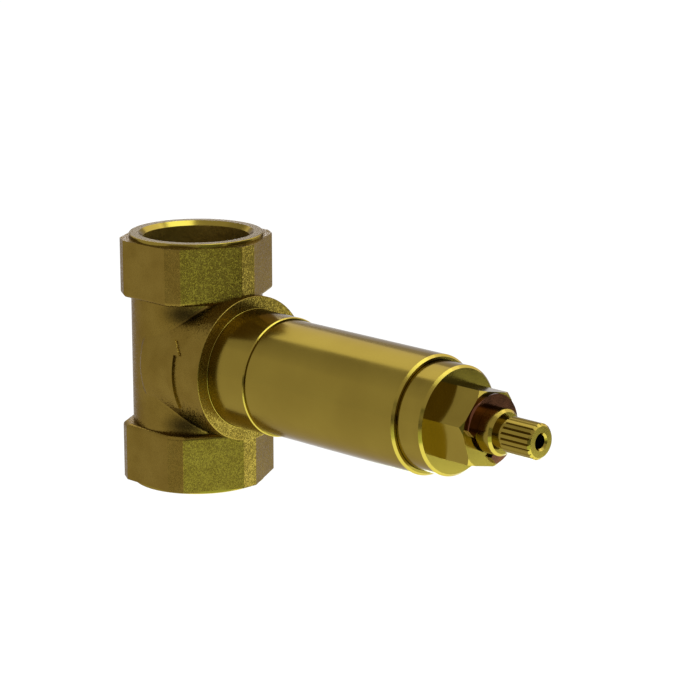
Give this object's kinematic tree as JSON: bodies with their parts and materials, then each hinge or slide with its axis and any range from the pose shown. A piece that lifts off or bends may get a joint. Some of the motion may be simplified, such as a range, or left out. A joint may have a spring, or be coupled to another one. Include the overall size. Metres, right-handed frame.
{
  "type": "volume control valve",
  "caption": "Concealed shower volume control valve: cast brass tee with two threaded ports, a long turned barrel on its branch and a splined quarter-turn spindle.",
  "frame": {"origin": "on the run axis, at the mouth of the inlet port, where its straight wall begins", "axes": "+Z along the run from the inlet to the outlet, -Y along the branch to the spindle, +X to the right for someone who faces the spindle"},
  "size_m": [0.0365, 0.1322, 0.063],
  "materials": {
    "cast_brass": "rough cast",
    "turned_brass": "turned",
    "drawn_brass": "machined",
    "bronze_clip": "dark polished",
    "ceramic": "lapped",
    "seal_rubber": "matt",
    "slip_plastic": "matt",
    "fibre": "matt"
  },
  "bodies": {
    "body": {"valve_body": "cast_brass", "barrel": "turned_brass", "barrel_seal_ring": "fibre", "head_nut": "turned_brass", "head_nut_o_ring": "seal_rubber", "spindle_thrust_washer": "slip_plastic", "cartridge_shell": "drawn_brass", "shell_o_ring": "seal_rubber", "carrier_thrust_washer": "slip_plastic", "fixed_disc": "ceramic", "disc_seal": "seal_rubber", "seal_support_ring": "slip_plastic"},
    "stem": {"spindle": "turned_brass", "spindle_clip": "bronze_clip", "spindle_o_ring_rear": "seal_rubber", "spindle_o_ring_front": "seal_rubber", "disc_carrier": "drawn_brass", "carrier_o_ring_rear": "seal_rubber", "carrier_o_ring_front": "seal_rubber", "moving_disc": "ceramic"}
  },
  "joints": [
    {"name": "spindle_turn", "type": "hinge", "parent": "body", "child": "stem", "pos_m": [0, 0, 0.0304], "axis": [0, -1, 0], "range_deg": [0, 90]}
  ]
}
